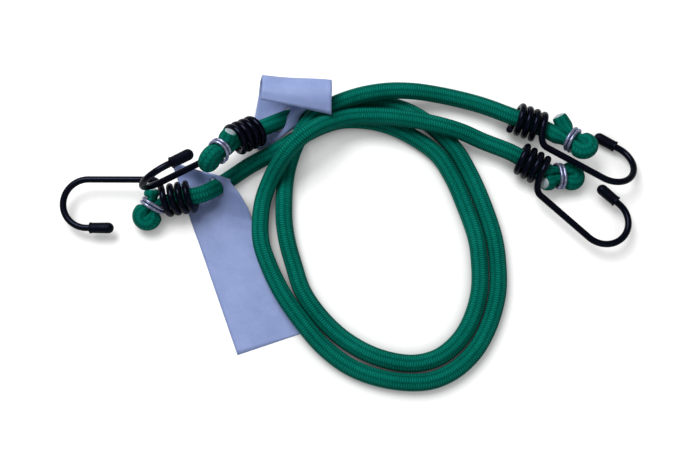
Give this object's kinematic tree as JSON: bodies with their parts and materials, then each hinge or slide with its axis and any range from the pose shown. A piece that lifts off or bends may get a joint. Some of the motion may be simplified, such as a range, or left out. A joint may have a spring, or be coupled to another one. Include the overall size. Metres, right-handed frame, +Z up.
{
  "type": "bungee cord",
  "caption": "Braided elastic cords laid together in a loose loop, with coated wire hooks wound round their folded and clipped ends, and blank paper tags.",
  "frame": {"origin": "on the table, under the middle of the box round the hooks, caps, clips and tags", "axes": "+X along the object's length from the left hooks to the right hooks, +Y away from the viewer, +Z up from the table"},
  "size_m": [0.2704, 0.1455, 0.0403],
  "materials": {
    "braid": "matt woven polyester sleeve with fine cross ribs",
    "core": "cut ends of grey-white rubber strands",
    "hook": "smooth semi-gloss black coating on steel wire",
    "cap": "dipped black vinyl, soft sheen",
    "clip": "galvanised steel wire",
    "tag": "uncoated pale lavender paper, bare"
  },
  "bodies": {
    "cords": {"cord_a_braid": "braid", "cord_b_braid": "braid", "cord_a_core": "core", "cord_b_core": "core", "end_clip_upper_right": "clip", "end_clip_lower_right": "clip", "end_clip_upper_left": "clip", "end_clip_lower_left": "clip", "tag_lower": "tag", "tag_upper": "tag"},
    "hook_upper_right": {"hook_wire_upper_right": "hook", "tip_cap_upper_right": "cap"},
    "hook_lower_right": {"hook_wire_lower_right": "hook", "tip_cap_lower_right": "cap"},
    "hook_upper_left": {"hook_wire_upper_left": "hook", "tip_cap_upper_left": "cap"},
    "hook_lower_left": {"hook_wire_lower_left": "hook", "tip_cap_lower_left": "cap"}
  },
  "joints": [
    {"name": "hook_upper_right_swivel", "type": "hinge", "parent": "cords", "child": "hook_upper_right", "pos_m": [0.08411, 0.04528, 0.0085], "axis": [0.9283, -0.3676, -0.0558], "range_deg": [-6, 2]},
    {"name": "hook_lower_right_swivel", "type": "hinge", "parent": "cords", "child": "hook_lower_right", "pos_m": [0.08431, 0.02478, 0.0081], "axis": [0.8376, -0.546, -0.0192], "range_deg": [-24, 18]},
    {"name": "hook_upper_left_swivel", "type": "hinge", "parent": "cords", "child": "hook_upper_left", "pos_m": [-0.04889, 0.03678, 0.0138], "axis": [-0.7409, -0.5246, 0.4195], "range_deg": [-130, 1]},
    {"name": "hook_lower_left_swivel", "type": "hinge", "parent": "cords", "child": "hook_lower_left", "pos_m": [-0.07889, 0.00738, 0.009], "axis": [-0.9848, -0.1683, -0.0419], "range_deg": [-8, 2]}
  ]
}
